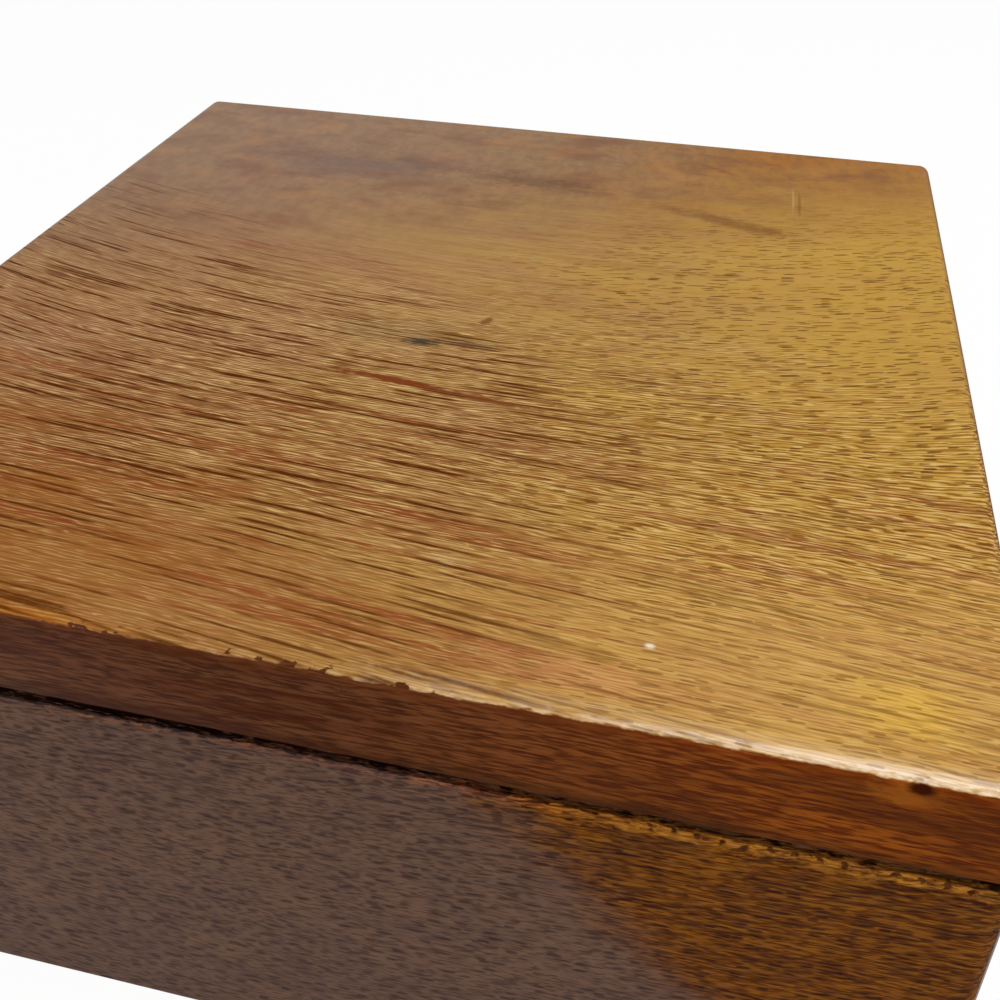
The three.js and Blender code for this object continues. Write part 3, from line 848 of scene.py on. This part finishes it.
def sliced(mesh, faces, cuts):
    if not cuts:
        return faces
    middle = len(cuts) // 2
    point, normal = cuts[middle]
    parts = set(faces)
    for face in faces:
        parts.update(face.edges)
        parts.update(face.verts)
    result = bmesh.ops.bisect_plane(mesh, geom=list(parts), plane_co=point, plane_no=normal, dist=1e-8)
    kept = [part for part in result["geom"] if isinstance(part, bmesh.types.BMFace)]
    ahead = [face for face in kept if (face.calc_center_median() - point).dot(normal) > 0]
    behind = [face for face in kept if (face.calc_center_median() - point).dot(normal) <= 0]
    return sliced(mesh, behind, cuts[:middle]) + sliced(mesh, ahead, cuts[middle + 1:])


def spread(low, high, step):
    count = max(1, round((high - low) / step))
    return [low + (high - low) * i / count for i in range(count + 1)]


def denseArris(mesh, arris):
    axisY, axisZ = (a * millimetre for a in arris["axis"])
    radius, across, down = (arris[key] * millimetre for key in ("radius", "topBand", "frontBand"))
    half, step = arris["halfLength"] * millimetre, arris["step"] * millimetre
    top, front = axisZ + radius, axisY - radius
    centre = Vector((0, axisY, axisZ))
    flat = [face for face in mesh.faces
            if face.normal.z > facing and abs(face.calc_center_median().z - top) < samePlane]
    flat = sliced(mesh, flat, [(Vector((0, axisY + across, top)), Vector((0, 1, 0)))])
    flat = [face for face in flat if face.calc_center_median().y < axisY + across]
    upright = [face for face in mesh.faces
               if face.normal.y < -facing and abs(face.calc_center_median().y - front) < samePlane]
    upright = sliced(mesh, upright, [(Vector((0, front, axisZ - down)), Vector((0, 0, 1)))])
    upright = [face for face in upright if face.calc_center_median().z > axisZ - down]
    bend = [face for face in mesh.faces if -facing < face.normal.y < -0.01 and 0.01 < face.normal.z
            and abs(face.normal.x) < 0.01 and face.calc_center_median().z > axisZ
            and face.calc_center_median().y < axisY]
    angles = spread(0, math.pi / 2, step / radius)[1:-1]
    bend = sliced(mesh, bend, [(centre, Vector((0, math.sin(a), math.cos(a)))) for a in angles])
    for vert in {vert for face in bend for vert in face.verts}:
        outwards = Vector((0, vert.co.y - axisY, vert.co.z - axisZ))
        if abs(outwards.length - radius) < 0.05 * radius:
            vert.co += outwards.normalized() * (radius - outwards.length)
    flat = sliced(mesh, flat, [(Vector((0, y, 0)), Vector((0, 1, 0)))
                               for y in spread(axisY, axisY + across, step)[1:-1]])
    upright = sliced(mesh, upright, [(Vector((0, 0, z)), Vector((0, 0, 1)))
                                     for z in spread(axisZ - down, axisZ, step)[1:-1]])
    columns = [(Vector((x, 0, 0)), Vector((1, 0, 0))) for x in spread(-half, half, step)]
    faces = sliced(mesh, flat + upright + bend, columns)
    weight = mesh.verts.layers.float.new("arris")
    for vert in {vert for face in faces for vert in face.verts}:
        x, y, z = vert.co
        ends = min(1.0, max(0.0, (half - abs(x)) / (2 * millimetre)))
        above = min(1.0, max(0.0, (axisY + across - y) / (0.7 * across)))
        below = min(1.0, max(0.0, (z - axisZ + down) / (0.4 * down)))
        vert[weight] = ends * above * below
    return mesh


def makeFrayedArris():
    tree, given, result = newGroup(
        "frayedArris",
        {"Geometry": "geometry", "Depth": 0.2, "Worn To": 200.0, "Chip Length": 6.0, "Chip Share": 0.5,
         "Fibre Length": 3.0, "Fibre Width": 0.3, "Notch Depth": 0.0, "Notch Pitch": 2.5, "Notch From": 0.0,
         "Notch To": 1.0, "Notch Low": 0.0, "Notch High": 1.0, "Pit Place": "vector", "Pit Radius": 1.0,
         "Pit Depth": 0.0, "Sunk Above": 99.0, "Sunk Depth": 0.0, "Seed": 0.0, "Material": "material"},
        {"Geometry": "geometry"}, "GeometryNodeTree",
    )
    place = inMillimetres(tree, put(tree, "GeometryNodeInputPosition").outputs[0])
    axes = separate(tree, place)
    x, z = axes[0], axes[2]
    weight = put(tree, "GeometryNodeInputNamedAttribute", {"Name": "arris"}, data_type="FLOAT").outputs[0]
    uneven = noiseAt(tree, place, 1.7, 1.0, 1.0, 0.5, given["Seed"])
    wobble = minus(tree, uneven, 0.5)
    # chips, where bundles of fibres have broken away
    chips = noiseAt(tree, place, given["Chip Length"], 1.2, 2.5, 0.6, given["Seed"])
    limit = minus(tree, 0.8, times(tree, given["Chip Share"], 0.6))
    chips = fade(tree, chips, plus(tree, limit, -0.04), plus(tree, limit, 0.04))
    chips = times(tree, chips, fade(tree, x, given["Worn To"], plus(tree, given["Worn To"], -30.0)))
    fibres = noiseAt(tree, place, given["Fibre Length"], given["Fibre Width"], 2.0, 0.6, given["Seed"])
    worn = times(tree, chips, fade(tree, fibres, 0.3, 0.7, 0.25, 1.0, "LINEAR"), given["Depth"])
    # notches, in a stretch of the edge and between two heights
    saw = calc(tree, "DIVIDE", shifted(tree, x, uneven, 1.2), given["Notch Pitch"])
    level = shifted(tree, z, wobble, 1.2)
    saw = times(
        tree, fade(tree, calc(tree, "PINGPONG", saw, 0.5), 0.2, 0.5),
        fade(tree, x, given["Notch From"], plus(tree, given["Notch From"], 6.0)),
        fade(tree, x, given["Notch To"], plus(tree, given["Notch To"], -3.0)),
        fade(tree, level, given["Notch Low"], plus(tree, given["Notch Low"], 0.9)),
        fade(tree, level, given["Notch High"], plus(tree, given["Notch High"], -0.4)),
        fade(tree, uneven, 0.3, 0.6, 0.3, 1.0),
    )
    # a pit at the knot, and a strip along the top that lies a little lower
    away = lengthOf(tree, vectorCalc(tree, "SUBTRACT", place, given["Pit Place"]))
    pit = times(tree, fade(tree, away, given["Pit Radius"], 0.0), given["Pit Depth"])
    lip = shifted(tree, given["Sunk Above"], wobble, 0.5)
    sunk = times(tree, fade(tree, z, lip, plus(tree, lip, 0.12)), given["Sunk Depth"])
    depth = times(tree, plus(tree, worn, times(tree, saw, given["Notch Depth"]), pit, sunk), weight)
    normal = put(tree, "GeometryNodeInputNormal").outputs[0]
    inwards = put(tree, "ShaderNodeVectorMath", {0: normal, "Scale": times(tree, depth, -millimetre)},
                  operation="SCALE").outputs[0]
    stored = {"fray": calc(tree, "MULTIPLY", calc(tree, "MAXIMUM", chips, saw), weight, clamp=True),
              "notch": times(tree, saw, weight)}
    kept = given["Geometry"]
    for label, value in stored.items():
        kept = put(tree, "GeometryNodeStoreNamedAttribute", {"Geometry": kept, "Name": label, "Value": value},
                   data_type="FLOAT", domain="POINT").outputs[0]
    moved = put(tree, "GeometryNodeSetPosition", {"Geometry": kept, "Offset": inwards})
    realAndPainted(tree, moved.outputs[0], given, result)
    return tree


frayedArris = makeFrayedArris()

# Millimetres, but for shares and seeds
lidArris = {
    "axis": (-89.007, 62.0), "radius": 2.0, "topBand": 1.2, "frontBand": 1.2, "halfLength": 77.6, "step": 0.22,
}
lidWear = {
    "Depth": 0.14, "Worn To": 42.0, "Chip Length": 2.2, "Chip Share": 0.36, "Fibre Length": 1.4, "Fibre Width": 0.4,
    "Pit Place": (68.0, -90.3, 62.9), "Pit Radius": 1.3, "Pit Depth": 0.3, "Seed": 3.0,
}
rimArris = {
    "axis": (-90.007, 50.2), "radius": 1.0, "topBand": 0.8, "frontBand": 2.4, "halfLength": 77.6, "step": 0.2,
}
rimWear = {
    "Depth": 0.3, "Chip Length": 5.0, "Chip Share": 0.5, "Fibre Length": 2.6, "Fibre Width": 0.35,
    "Notch Depth": 0.4, "Notch Pitch": 2.5, "Notch From": 38.0, "Notch To": 79.0,
    "Notch Low": 49.2, "Notch High": 51.0, "Sunk Above": 50.75, "Sunk Depth": 0.5, "Seed": 5.0,
}
finishPiece("lidBoard", denseArris(mergedCopy("lid_panel"), lidArris), "lid", lidWood,
            ["lid_panel"], tree=frayedArris, values=lidWear)
finishPiece("frontBoard", denseArris(mergedCopy("front_wall"), rimArris), "case", frontWood,
            ["front_wall"], tree=frayedArris, values=rimWear)
for side in ("back", "left", "right"):
    wood = wallWood if side == "back" else wallWoodTurned
    finishPiece(side + "Board", mergedCopy(side + "_wall"), "case", wood, [side + "_wall"])
finishPiece("bottomBoard", mergedCopy("bottom_panel"), "case", bottomWood, ["bottom_panel"])
print("boards done")

# The hinges: leaves and pins with their edges broken

leafEdge = 0.08 * millimetre
for side in ("left", "right"):
    for body in ("case", "lid"):
        node = "hinge_leaf_%s_%s" % (body, side)
        finishPiece("%sLeaf.%s" % (body, side), mergedCopy(node), body, hingeBrass, [node], leafEdge)
    node = "hinge_pin_" + side
    finishPiece("hingePin." + side, mergedCopy(node), "case", pinSteel, [node], leafEdge)
print("hinges done")


# The screws, each with its slot turned as the driver left it


def makeScrewRow():
    tree, given, result = newGroup(
        "screwRow",
        {"Geometry": "geometry", "Hinge Span": 0.1, "Screw Span": 0.02, "Middle": "vector", "Flip": 0.0,
         "Seed": 1, "Material": "material"},
        {"Geometry": "geometry"}, "GeometryNodeTree",
    )
    ends = []
    for span in ("Hinge Span", "Screw Span"):
        start = combine(tree, times(tree, given[span], -0.5))
        step = combine(tree, given[span])
        line = put(tree, "GeometryNodeMeshLine", {"Count": 2, "Start Location": start, "Offset": step}, mode="OFFSET")
        ends.append(line.outputs[0])
    pairs = put(tree, "GeometryNodeInstanceOnPoints", {"Points": ends[0], "Instance": ends[1]})
    points = put(tree, "GeometryNodeRealizeInstances", {"Geometry": pairs.outputs[0]})
    moved = put(tree, "GeometryNodeSetPosition", {"Geometry": points.outputs[0], "Offset": given["Middle"]})
    slotTurn = put(tree, "FunctionNodeRandomValue", {2: 0.0, 3: math.pi, "Seed": given["Seed"]}, data_type="FLOAT")
    turn = combine(tree, given["Flip"], 0.0, slotTurn.outputs[1])
    screws = put(tree, "GeometryNodeInstanceOnPoints", {
        "Points": moved.outputs[0], "Instance": given["Geometry"], "Rotation": turn})
    realAndPainted(tree, screws.outputs[0], given, result)
    return tree


def looseScrew():
    mesh = mergedCopy("case_screw_1")
    corners = [vert.co for vert in mesh.verts]
    low = Vector([min(corner[i] for corner in corners) for i in range(3)])
    high = Vector([max(corner[i] for corner in corners) for i in range(3)])
    bmesh.ops.translate(mesh, verts=mesh.verts, vec=-Vector(((low.x + high.x) / 2, (low.y + high.y) / 2, high.z)))
    return mesh


screwRow = makeScrewRow()
screws = {
    "hingeSpan": 86.0 * millimetre, "screwSpan": 16.0 * millimetre, "rowY": 83.912 * millimetre,
    "jointZ": 51.6 * millimetre, "headGap": 0.863 * millimetre, "edge": 0.05 * millimetre,
}
for body, flip, seed in (("case", 0.0, 4), ("lid", math.pi, 9)):
    level = screws["jointZ"] + (screws["headGap"] if flip else -screws["headGap"])
    finishPiece(body + "Screws", looseScrew(), body, screwBrass,
                ["%s_screw_%d" % (body, i) for i in range(1, 5)], screws["edge"], tree=screwRow, values={
                    "Hinge Span": screws["hingeSpan"], "Screw Span": screws["screwSpan"],
                    "Middle": (0.0, screws["rowY"], level), "Flip": flip, "Seed": seed})
print("pieces done")
